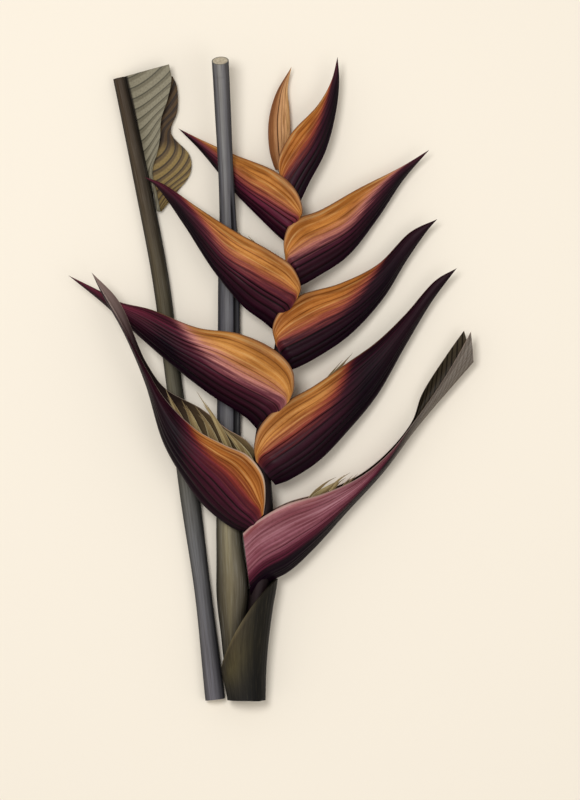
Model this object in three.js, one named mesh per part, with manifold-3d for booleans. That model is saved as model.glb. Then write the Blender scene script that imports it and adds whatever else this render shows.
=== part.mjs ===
// A cut heliconia shoot, laid on its back on a table: ten boat-shaped bracts in two ranks on a
// zigzag rachis, the flowers standing in them, the leaf stalks cut off beside it and the sheath
// that wraps the foot. Millimetres, +Y along the shoot to its tip, +Z up from the table.

import * as THREE from 'three';
import { mergeVertices } from 'three/addons/utils/BufferGeometryUtils.js';
import Module from 'manifold-3d';

const wasm = await Module();
wasm.setup();

// ---- driving dimensions ----

const WALL = 1.8; // thickness of a bract's fleshy wall at the keel
const MARGIN_THIN = 0.4; // share of that thickness lost by the margin
const GAP = 0.4; // clearance between the rachis and a bract that clasps it
const FLARE = 2.6; // how much each cheek flares past the foot, to clasp the next bract's foot
const FLARE_AT = 0.07; // where along a bract the flare is done, 0 at its foot and 1 at its tip
const BELLY_AT = 0.28; // and where it is thickest
const LIFT_POWER = 1.3; // a bract leaves the rachis level, then rises or falls
const FOLD_AT = 0.55; // how far up a cheek it bulges most, 0 at the keel and 1 at the margin
const FOOT_MOUTH = 0.95; // how far the margins stand apart at the foot, as a share of the belly
const TIP_MOUTH = 0.42; // and from the middle to the tip
const OPEN_TO = 0.12; // where along a bract its margins start to close, unless it says otherwise
const CLOSING = 0.2; // the length that they close over
const BLUNT_TAPER = 0.72; // share of the belly lost by the end of a bract that ends in a blade
const BLADE_WALL = 1.2; // thickness of the leaf blade

const BRACT_ROWS = 15;
const CHEEK_STEPS = 6;
const STEM_ROWS = 26;
const STEM_SIDES = 14;
const SHEATH_ROWS = 9;
const SHEATH_SIDES = 24;
const FLOWER_ROWS = 7;
const FLOWER_SIDES = 8;
const BLADE_ROWS = 14;
const BLADE_STEPS = 4;

// ---- finishes ----

const finish = (color, roughness) => ({ color, roughness, metalness: 0 });
const ORANGE = finish('#b0702f', 0.5);
const MAUVE = finish('#96646a', 0.5);
const OCHRE = finish('#c09060', 0.5);
const DARK_STEM = finish('#241318', 0.5);
const DARK_SHEATH = finish('#2f2c25', 0.6);
const GREY_STALK = finish('#6e6b6b', 0.55);
const BROWN_STALK = finish('#464039', 0.55);
const LEAF = finish('#75663c', 0.6);
const STRAW = finish('#a08e68', 0.6);

// ---- curves and closed bodies ----

// A smooth curve through a few points; z is 0 where a point gives none.
function curve(points) {
  const knots = points.map(([x, y, z = 0]) => new THREE.Vector3(x, y, z));
  return new THREE.CatmullRomCurve3(knots, false, 'centripetal');
}

// A value that runs smoothly through a few numbers spaced evenly from t = 0 to t = 1.
function along(values, t) {
  const knots = values.map((value, i) => new THREE.Vector2(i, value));
  return new THREE.SplineCurve(knots).getPoint(t).y;
}

const ease = (t) => THREE.MathUtils.smoothstep(t, 0, 1);

// The closed body of these faces, turned so that they point outwards.
function body(points, faces) {
  const volume = faces.reduce((sum, [a, b, c]) => {
    const cross = new THREE.Vector3().crossVectors(points[b], points[c]);
    return sum + points[a].dot(cross);
  }, 0);
  const geometry = new THREE.BufferGeometry().setFromPoints(points);
  geometry.setIndex(faces.flatMap(([a, b, c]) => (volume > 0 ? [a, b, c] : [a, c, b])));
  return geometry;
}

// A closed body from rings of equal length. Point j of a ring faces point n - 1 - j across it,
// so each end is a strip of faces; a last ring of one point closes the end in a tip.
function loft(rings) {
  const n = rings[0].length;
  const faces = [];
  const quad = (a, b, c, d) => faces.push([a, b, c], [a, c, d]);
  const strip = (first, flip) => {
    for (let j = 0; j < n / 2 - 1; j += 1) {
      const corners = [j, j + 1, n - 2 - j, n - 1 - j].map((k) => first + k);
      quad(...(flip ? corners.reverse() : corners));
    }
  };
  const tipped = rings.at(-1).length === 1;
  const full = tipped ? rings.length - 1 : rings.length;
  for (let i = 0; i + 1 < full; i += 1) {
    for (let j = 0; j < n; j += 1) {
      const k = (j + 1) % n;
      quad(i * n + j, (i + 1) * n + j, (i + 1) * n + k, i * n + k);
    }
  }
  strip(0, false);
  if (tipped) {
    for (let j = 0; j < n; j += 1) {
      faces.push([(full - 1) * n + j, full * n, (full - 1) * n + (j + 1) % n]);
    }
  } else {
    strip((full - 1) * n, true);
  }
  return body(rings.flat(), faces);
}

// A closed body whose rings follow each other round a loop, so the last joins the first.
function sleeve(rings) {
  const n = rings[0].length;
  const faces = [];
  rings.forEach((ring, i) => {
    const next = ((i + 1) % rings.length) * n;
    for (let j = 0; j < n; j += 1) {
      const k = (j + 1) % n;
      faces.push([i * n + j, i * n + k, next + k], [i * n + j, next + k, next + j]);
    }
  });
  return body(rings.flat(), faces);
}

// A stem of oval section along a path. halfWidths, halfHeights and leans run evenly along it; a
// lean lifts its right-hand side. endSlope slants the far end's cut, so that it faces up a little.
function stem(path, halfWidths, halfHeights, { leans = [0, 0], endSlope = 0, swell = 0 } = {}) {
  const rings = [];
  for (let i = 0; i <= STEM_ROWS; i += 1) {
    const t = i / STEM_ROWS;
    const centre = path.getPointAt(t);
    const ahead = path.getTangentAt(t);
    const side = new THREE.Vector3(ahead.y, -ahead.x, 0).normalize();
    const up = new THREE.Vector3().crossVectors(side, ahead).normalize();
    const half = along(halfWidths, t) + swell;
    const height = along(halfHeights, t) + swell;
    const ring = [];
    for (let j = 0; j < STEM_SIDES; j += 1) {
      const angle = (2 * Math.PI * (j + 0.5)) / STEM_SIDES;
      const across = half * Math.cos(angle);
      const rise = height * Math.sin(angle) + across * along(leans, t);
      const setBack = i === STEM_ROWS ? endSlope * (height + rise) : 0;
      const spot = centre.clone().addScaledVector(side, across).addScaledVector(up, rise);
      ring.push(spot.addScaledVector(ahead, -setBack));
    }
    rings.push(ring);
  }
  return loft(rings);
}

function toSolid(geometry) {
  const bare = new THREE.BufferGeometry();
  bare.setAttribute('position', geometry.getAttribute('position'));
  bare.setIndex(geometry.getIndex());
  const merged = mergeVertices(bare, 1e-4);
  const vertProperties = new Float32Array(merged.getAttribute('position').array);
  const triVerts = new Uint32Array(merged.getIndex().array);
  return new wasm.Manifold(new wasm.Mesh({ numProp: 3, vertProperties, triVerts }));
}

function cutAway(geometry, ...cutters) {
  const left = cutters.reduce((solid, cutter) => solid.subtract(toSolid(cutter)), toSolid(geometry));
  const { vertProperties, triVerts } = left.getMesh();
  const result = new THREE.BufferGeometry();
  result.setAttribute('position', new THREE.BufferAttribute(vertProperties, 3));
  result.setIndex(new THREE.BufferAttribute(triVerts, 1));
  return result;
}

// ---- bracts ----

// Each bract is a leaf folded along its keel into a narrow boat. keel and margin run from foot
// to tip, seen from above; a far margin is given where the lower cheek shows past the upper one.
// lifts are the heights of its mid plane from foot to tip, foot and belly its half thicknesses.
const BRACTS = [
  {
    name: 'bract_1',
    finish: MAUVE,
    keel: [[-13, -136], [-4, -127], [10, -119.5], [25, -106], [46, -83], [69, -58], [91, -29],
      [126, 11.5]],
    margin: [[-18, -96], [-10, -89], [8, -78.5], [32, -71.5], [55, -61], [73, -46], [88, -27],
      [98, -13], [108, 2], [116, 15.5], [124, 30.5]],
    farMargin: [[-18, -96], [-10, -89], [8, -78], [32, -70.5], [55, -59.5], [73, -44.5], [87, -26.5],
      [93, -10], [108, 14], [120, 31]],
    lifts: [17, 14, 10.5, 9.8, 10.5, 11.5],
    foot: 8.6,
    belly: 11.5,
    blunt: true,
  },
  {
    name: 'bract_2',
    finish: ORANGE,
    keel: [[-16, -95.5], [-25, -92], [-42, -78.5], [-55, -61], [-67, -39.5], [-78.5, -2], [-91.5, 28],
      [-105, 52], [-111.5, 65.5]],
    margin: [[-5.5, -84], [-4.5, -74], [-6, -60], [-15, -48], [-29, -41.5], [-46.5, -32], [-66, -13],
      [-78, 6.5], [-96, 40], [-111.5, 65.5]],
    farMargin: [[-5.5, -84], [-4.5, -74], [-6, -57], [-15, -40], [-29, -31], [-44, -19], [-66, -6.5],
      [-78, 10], [-95, 48], [-111.5, 65.5]],
    lifts: [19.5, 26, 26.5, 25, 26, 27],
    foot: 7.8,
    belly: 11.5,
  },
  {
    name: 'bract_3',
    finish: ORANGE,
    keel: [[2, -66], [10.5, -62.5], [28.5, -51], [47, -32], [65, -10], [83, 21.5], [99.5, 48.5],
      [114.5, 68.5]],
    margin: [[-10, -51], [-11, -44], [-8, -31.5], [4, -18], [26, -5], [47, 9.5], [65, 22.5],
      [82.5, 39.5], [101.5, 61], [114.5, 68.5]],
    lifts: [20, 15, 10.4, 10.1, 10.6, 14],
    foot: 7.4,
    belly: 12.5,
  },
  {
    name: 'bract_4',
    finish: ORANGE,
    keel: [[-8, -33], [-15.5, -24.5], [-38.5, -9.5], [-63, 9.5], [-87, 30.5], [-103.5, 45.5],
      [-126.5, 64]],
    margin: [[10.5, -14], [13, -7], [12, 5], [2, 16.5], [-20, 27], [-46.5, 31], [-75.5, 42.5],
      [-95, 47.5], [-106.5, 54], [-126.5, 64]],
    lifts: [20, 24.5, 21.5, 19, 17, 15],
    foot: 6.8,
    belly: 11.5,
  },
  {
    name: 'bract_5',
    finish: ORANGE,
    keel: [[10, 4.5], [23.5, 11], [47, 26.5], [68, 49], [83, 73], [96, 91.5], [102.5, 99]],
    margin: [[2, 21.5], [0.5, 31], [4.5, 40.5], [17.5, 51], [42, 58.5], [65.5, 70.5], [86, 91],
      [102.5, 99]],
    lifts: [20, 14, 9.8, 9, 10, 13],
    foot: 6.3,
    belly: 11.5,
  },
  {
    name: 'bract_6',
    finish: ORANGE,
    keel: [[2.5, 28.5], [-5.5, 35.5], [-17, 44], [-35.5, 66], [-54, 94.5], [-71, 118], [-79.5, 125]],
    margin: [[16, 50.5], [17.5, 56], [12, 68.5], [-1, 78], [-25, 91.5], [-47.5, 106.5], [-67.5, 120.5],
      [-79.5, 125]],
    lifts: [20, 24, 22, 19, 17, 16],
    foot: 5.9,
    belly: 10.5,
  },
  {
    name: 'bract_7',
    finish: ORANGE,
    keel: [[15, 56], [26.5, 62.5], [46.5, 76], [64.5, 98.5], [81, 123], [97.5, 142]],
    margin: [[8.2, 73], [7.5, 85], [12.5, 96.5], [30, 104], [54.5, 118], [79.5, 131], [97.5, 142]],
    lifts: [19.5, 13.5, 9, 8.5, 9, 12],
    foot: 5.4,
    belly: 10.5,
  },
  {
    name: 'bract_8',
    finish: ORANGE,
    keel: [[8, 84.5], [0, 92], [-10.5, 102.5], [-23, 115.5], [-44.5, 141.5], [-58.5, 155.5]],
    margin: [[17, 99], [18.5, 103], [14.5, 115.5], [2, 127.5], [-24, 139], [-44.5, 148.5],
      [-58.5, 155.5]],
    lifts: [18, 14, 9, 6.4, 5.8, 8],
    foot: 5,
    belly: 8.6,
    openTo: 0.3,
  },
  {
    name: 'bract_9',
    finish: ORANGE,
    keel: [[16, 107], [22.5, 121], [33, 141.5], [39.5, 166.5], [41.5, 185], [40.5, 199.5]],
    margin: [[5.5, 122], [4, 134], [11, 150], [28.5, 169.5], [36.5, 184], [40.5, 199.5]],
    lifts: [16.5, 16, 14.5, 14, 15],
    foot: 4,
    belly: 6.5,
    flare: 1,
  },
  {
    name: 'bract_10',
    finish: OCHRE,
    keel: [[2, 129.5], [-1.5, 142], [-2, 160], [2.5, 177.5], [12, 194]],
    margin: [[6, 131], [10.5, 150], [10.5, 166.5], [9.5, 180], [12, 194]],
    lifts: [5.4, 4.6, 4.6, 5, 7],
    foot: 2.6,
    belly: 4,
    flare: 0,
  },
];

function bellyAt(bract, t) {
  const flareBy = bract.flare ?? FLARE;
  const flare = flareBy * ease(t / FLARE_AT);
  const fattening = ease((t - FLARE_AT / 2) / (BELLY_AT - FLARE_AT / 2));
  const fattest = bract.foot + flare + (bract.belly - bract.foot - flareBy) * fattening;
  const past = Math.max(0, (t - BELLY_AT) / (1 - BELLY_AT));
  return fattest * (1 - (bract.blunt ? BLUNT_TAPER : 1) * past ** 1.5);
}

function mouthAt(bract, t) {
  const openTo = bract.openTo ?? OPEN_TO;
  return THREE.MathUtils.lerp(FOOT_MOUTH, TIP_MOUTH, ease((t - openTo) / CLOSING));
}

// How far a cheek stands from the mid plane at s, as a share of the belly.
function cheekAt(s, mouth) {
  if (s < FOLD_AT) return Math.sin((Math.PI / 2) * (s / FOLD_AT) ** 0.8);
  return 1 - (1 - mouth) * ((s - FOLD_AT) / (1 - FOLD_AT)) ** 2;
}

// The hollow bract, or with a swell the solid space that it needs, that much larger all round.
function bractGeometry(bract, swell = 0) {
  const keel = curve(bract.keel);
  const near = curve(bract.margin);
  const far = curve(bract.farMargin ?? bract.margin);
  const rings = [];
  const last = bract.blunt ? BRACT_ROWS : BRACT_ROWS - 1;
  for (let i = 0; i <= last; i += 1) {
    const t = i / BRACT_ROWS;
    const belly = bellyAt(bract, t) + swell;
    const mouth = mouthAt(bract, t);
    const wall = Math.min(WALL, 0.5 * belly * mouth);
    const lift = along(bract.lifts, t ** LIFT_POWER);
    const inKeel = FOLD_AT * ((2 / Math.PI) * Math.asin(wall / belly)) ** 1.25;
    const point = (margin, s, side, inset) => {
      const spot = keel.getPointAt(t).lerp(margin.getPointAt(t), s);
      const depth = belly * cheekAt(s, mouth) - inset * (1 - MARGIN_THIN * s);
      spot.z = lift + side * Math.max(0, depth);
      return spot;
    };
    const outer = [];
    const inner = [];
    for (let j = -CHEEK_STEPS; j <= CHEEK_STEPS; j += 1) {
      const share = Math.abs(j / CHEEK_STEPS) ** 1.25;
      const [margin, side] = j < 0 ? [near, 1] : [far, -1];
      outer.push(point(margin, share, side, 0));
      inner.push(point(margin, inKeel + (1 - inKeel) * share, side, wall));
    }
    // The solid space is closed straight across its mouth, and a second point by the keel makes
    // the count even.
    if (swell > 0) {
      const keelEdge = outer[CHEEK_STEPS].clone();
      keelEdge.z += swell / 10;
      outer.splice(CHEEK_STEPS, 0, keelEdge);
    }
    rings.push(swell > 0 ? outer : [...outer, ...inner.reverse()]);
  }
  if (!bract.blunt) {
    const tip = keel.getPointAt(1);
    tip.z = bract.lifts.at(-1);
    rings.push([tip]);
  }
  return loft(rings);
}

// ---- rachis, stalks and sheath ----

const RACHIS_PATH = [[-13, -199.5, 11], [-9, -140, 14], [-5, -90, 18], [-6, -40, 20], [4, 10, 20.5],
  [11, 64, 20], [15, 98, 18], [13, 118, 17]];
const RACHIS_RADII = [6.3, 6.2, 5.8, 5, 4.2, 3.4, 2.4];

const CUT_STALK_PATH = [[-22.6, -199, 10.6], [-24.8, -177, 12], [-24.8, -150, 11.5],
  [-25, -125, 10.5], [-27, -96, 7], [-27.2, -60, 5.6], [-27, 0, 5.8], [-27, 66, 6.2],
  [-27.4, 95, 9.4], [-28.4, 122, 18.5], [-29, 135, 20.5], [-32, 198, 30]];
const CUT_STALK_WIDTHS = [3, 6.2, 9.9, 8, 7.3, 7.3, 7.2, 6.9, 6.6, 5.2, 4.7, 5, 5.2];
const CUT_STALK_HEIGHTS = [5, 7, 8.5, 6, 5, 5, 5.2, 5.2, 5.1, 4.9, 4.8, 4.9, 5];
const CUT_STALK_LEANS = [0, 0.1, 0.35, 0.2, 0, 0, 0, 0, 0, 0, 0, 0, 0];
const CUT_SLOPE = 0.43; // how far its upper end's cut leans back, per height

const LEAF_STALK_PATH = [[-35.5, -199.5, 5.2], [-43, -134, 5.2], [-52, -68, 5.2], [-61.5, 0, 5.2],
  [-69.5, 62, 5], [-81, 122, 4.8], [-95, 187, 4.6]];
const LEAF_STALK_WIDTHS = [6.2, 5.2, 6.1, 5, 5.2, 5, 4.1];
const LEAF_STALK_HEIGHTS = [5.1, 5.1, 5.1, 5, 4.9, 4.7, 4.5];

// The sheath wraps the foot of the shoot; its free margin slants up from left to right.
const SHEATH_LENGTH = [-199.5, -124];
const SHEATH_LEFT = [-28, -31.5, -33, -33, -33];
const SHEATH_RIGHT = [-4, -3.5, -2, 0.5, 3.5];
const SHEATH_TOPS = [22, 25, 27, 28, 29];
const SHEATH_MARGIN_LOW = -179;
const SHEATH_WALL = 1.6;

function sheathGeometry() {
  const [bottom, top] = SHEATH_LENGTH;
  const ringAt = (v, inset) => {
    const ring = [];
    for (let j = 0; j < SHEATH_SIDES; j += 1) {
      const angle = (2 * Math.PI * j) / SHEATH_SIDES;
      const slant = (1 + Math.cos(angle)) / 2 + 0.09 * Math.sin(angle) ** 2;
      const reach = SHEATH_MARGIN_LOW + (top - SHEATH_MARGIN_LOW) * slant;
      const y = bottom + (reach - bottom) * v;
      const t = (y - bottom) / (top - bottom);
      const left = along(SHEATH_LEFT, t);
      const right = along(SHEATH_RIGHT, t);
      const height = along(SHEATH_TOPS, t);
      const x = (left + right) / 2 + ((right - left) / 2 - inset) * Math.cos(angle);
      const z = height / 2 + (height / 2 - inset) * Math.sin(angle);
      ring.push(new THREE.Vector3(x, y, z));
    }
    return ring;
  };
  // The ring of faces runs up the outside and down the inside, so the body is a sleeve.
  const steps = Array.from({ length: SHEATH_ROWS + 1 }, (_, i) => i / SHEATH_ROWS);
  const outside = steps.map((v) => ringAt(v, 0));
  const inside = steps.map((v) => ringAt(v, SHEATH_WALL)).reverse();
  return sleeve([...outside, ...inside]);
}

// ---- leaf blade ----

// The cut piece of blade is folded along the stalk: the near half lies over the far half.
const BLADE_FOLD = [[-70.6, 104, 5], [-72.5, 114, 5], [-76, 127, 5], [-84, 163, 5], [-90.3, 188, 5]];
const BLADE_NEAR = [[-69.5, 104, 6.5], [-71.5, 114, 6.5], [-74.5, 129, 7], [-70, 147, 9], [-66, 168, 11],
  [-62.6, 186, 12], [-64, 195, 12]];
const BLADE_FAR = [[-69, 104, 4], [-60, 115.5, 2.5], [-51, 128, 2.5], [-51.5, 139, 3], [-63, 153, 4],
  [-59, 167, 4], [-59.5, 182.5, 4], [-62, 188, 4]];

function bladeGeometry() {
  const fold = curve(BLADE_FOLD);
  const near = curve(BLADE_NEAR);
  const far = curve(BLADE_FAR);
  const rings = [];
  for (let i = 0; i <= BLADE_ROWS; i += 1) {
    const t = i / BLADE_ROWS;
    const outer = [];
    const inner = [];
    for (let j = -BLADE_STEPS; j <= BLADE_STEPS; j += 1) {
      const share = Math.abs(j / BLADE_STEPS);
      const side = j < 0 ? 1 : -1;
      const half = j === 0 ? 0 : BLADE_WALL / 2;
      const spot = fold.getPointAt(t).lerp((j < 0 ? near : far).getPointAt(t), share);
      const skin = spot.clone();
      skin.z += side * half;
      const lining = spot.clone();
      lining.z -= side * half;
      lining.x += j === 0 ? BLADE_WALL : 0;
      outer.push(skin);
      inner.push(lining);
    }
    rings.push([...outer, ...inner.reverse()]);
  }
  return loft(rings);
}

// ---- flowers ----

// Slender pointed flowers that stand in the bracts: name, half thickness, path from foot to tip.
const FLOWERS = [
  ['flower_1a', 1.9, [[16, -88, 15], [26, -74, 14], [36, -65.5, 14], [44, -60.5, 14]]],
  ['flower_1b', 1.6, [[22, -92, 15], [33, -75, 14], [41, -64.5, 14], [48.5, -58, 14]]],
  ['flower_1c', 1.3, [[30, -88, 13], [40, -73, 13], [47, -64, 13], [53.5, -58.5, 13]]],
  ['flower_2a', 2, [[-46, -50, 25], [-53, -32, 25], [-60, -18, 25], [-66.5, -6, 25.5]]],
  ['flower_2b', 2.2, [[-39, -56, 25], [-45, -36, 25], [-51, -22, 25], [-56.5, -12.5, 25.5]]],
  ['flower_2c', 2.4, [[-30, -62, 25], [-35, -42, 25], [-41, -28, 25], [-48.5, -16.5, 25.5]]],
  ['flower_2d', 1.5, [[-20, -64, 24], [-26, -44, 26], [-35, -26, 28], [-47, -7, 30]]],
  ['flower_2e', 2.2, [[-12, -66, 22], [-15, -52, 23], [-22, -40, 24], [-33, -28, 25]]],
  ['flower_3a', 1.8, [[19, -28, 15], [27, -14, 13.5], [37, 1.5, 12], [50, 16.5, 11.5]]],
  ['flower_3b', 1.4, [[25, -32, 14], [32, -16, 12.5], [40, -1, 11.5], [48.5, 11.5, 11]]],
  ['flower_6a', 1.7, [[-12, 62, 22.5], [-13, 76, 22.5], [-17, 85, 22], [-22.5, 92.5, 22]]],
  ['flower_6b', 1.7, [[-4, 60, 22.5], [-5, 72, 23], [-9, 81, 23], [-15, 88.5, 23]]],
];

function flowerGeometry(radius, path) {
  const line = curve(path);
  const rings = [];
  for (let i = 0; i < FLOWER_ROWS; i += 1) {
    const t = i / FLOWER_ROWS;
    const centre = line.getPointAt(t);
    const ahead = line.getTangentAt(t);
    const side = new THREE.Vector3(ahead.y, -ahead.x, 0).normalize();
    const up = new THREE.Vector3().crossVectors(side, ahead);
    const fullness = 0.45 + 0.55 * Math.sin(Math.PI * Math.min(1, t * 1.1)) ** 0.7;
    const girth = radius * fullness * (1 - t ** 4);
    const ring = [];
    for (let j = 0; j < FLOWER_SIDES; j += 1) {
      const angle = (2 * Math.PI * (j + 0.5)) / FLOWER_SIDES;
      const spot = centre.clone().addScaledVector(side, girth * Math.cos(angle));
      ring.push(spot.addScaledVector(up, girth * Math.sin(angle)));
    }
    rings.push(ring);
  }
  rings.push([line.getPointAt(1)]);
  return loft(rings);
}

// ---- the whole shoot ----

const shoot = new THREE.Group();

function addPiece(name, geometry, look) {
  const piece = new THREE.Mesh(geometry, new THREE.MeshStandardMaterial(look));
  piece.name = name;
  shoot.add(piece);
}

const rachis = curve(RACHIS_PATH);
const rachisRoom = stem(rachis, RACHIS_RADII, RACHIS_RADII, { swell: GAP });
const cutStalk = stem(curve(CUT_STALK_PATH), CUT_STALK_WIDTHS, CUT_STALK_HEIGHTS, {
  leans: CUT_STALK_LEANS,
  endSlope: CUT_SLOPE,
});
const leafStalk = stem(curve(LEAF_STALK_PATH), LEAF_STALK_WIDTHS, LEAF_STALK_HEIGHTS);

addPiece('rachis', stem(rachis, RACHIS_RADII, RACHIS_RADII), DARK_STEM);
addPiece('stem_sheath', sheathGeometry(), DARK_SHEATH);
addPiece('cut_stalk', cutStalk, GREY_STALK);
addPiece('leaf_stalk', leafStalk, BROWN_STALK);
addPiece('leaf_blade', bladeGeometry(), LEAF);
BRACTS.forEach((bract, i) => {
  const clasped = BRACTS.slice(i + 1, i + 3).map((next) => bractGeometry(next, GAP));
  addPiece(bract.name, cutAway(bractGeometry(bract), rachisRoom, ...clasped), bract.finish);
});
for (const [name, radius, path] of FLOWERS) {
  addPiece(name, flowerGeometry(radius, path), STRAW);
}

export default shoot;
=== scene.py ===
"""A cut heliconia shoot lying on a pale table: ribbed bracts, rachis, flowers, stalks, leaf and sheath.

Outlines are in millimetres, +Y along the shoot, +Z up from the table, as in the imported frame.
"""

import math

import bpy
import numpy as np
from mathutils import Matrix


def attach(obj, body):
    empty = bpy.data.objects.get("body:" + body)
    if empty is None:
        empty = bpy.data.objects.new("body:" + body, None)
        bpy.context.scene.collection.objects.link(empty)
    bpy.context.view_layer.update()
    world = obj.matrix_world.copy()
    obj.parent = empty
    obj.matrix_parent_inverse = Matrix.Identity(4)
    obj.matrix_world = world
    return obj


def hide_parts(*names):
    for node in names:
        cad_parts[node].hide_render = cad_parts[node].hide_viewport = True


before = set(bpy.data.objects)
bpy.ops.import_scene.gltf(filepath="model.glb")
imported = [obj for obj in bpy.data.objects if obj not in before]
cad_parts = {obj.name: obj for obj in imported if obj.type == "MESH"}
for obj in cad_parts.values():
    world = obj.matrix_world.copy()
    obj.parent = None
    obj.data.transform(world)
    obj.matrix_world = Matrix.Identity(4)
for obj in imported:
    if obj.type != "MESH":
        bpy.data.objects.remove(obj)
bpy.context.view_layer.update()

MM = 0.001
TABLE = 0.03  # nothing reaches lower than this, in mm

# ---- the shoot's measurements, in millimetres ----

WALL = 1.8  # thickness of a bract's wall at the keel
MARGIN_THIN = 0.4  # share of that lost by the margin
FLARE = 2.6  # how much each cheek flares past the foot, to clasp the next bract
FLARE_AT = 0.07
BELLY_AT = 0.28  # where along a bract it is thickest
LIFT_POWER = 1.3
FOLD_AT = 0.55  # how far up a cheek it bulges most
FOOT_MOUTH = 0.95
TIP_MOUTH = 0.42
OPEN_TO = 0.12
CLOSING = 0.2
BLUNT_TAPER = 0.72

FAN_TO = 0.42  # over this share of the length the ribs fan out from the foot of the margin
FAN_START = 0.95  # how near to the margin the middle rib starts
RIB_HEIGHT = 0.3  # how far a rib stands between its grooves
GROOVE_DEPTH = 0.3
FULL_RIB = 3.2  # rib spacing at which a rib has its full height
GROOVE_WIDTH = 0.1  # half width of a groove, as a share of the rib spacing
ORANGE_FROM = 0.2  # past here the orange narrows along the margin, and it ends at "orange_to"
NARROWING = 2.4
NEVER = 2  # past the end of a bract, for a colour that it doesn't have
CHEEK_SIZE = (42, 160)  # a bract's width and length, which set the scale of its fibres

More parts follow.
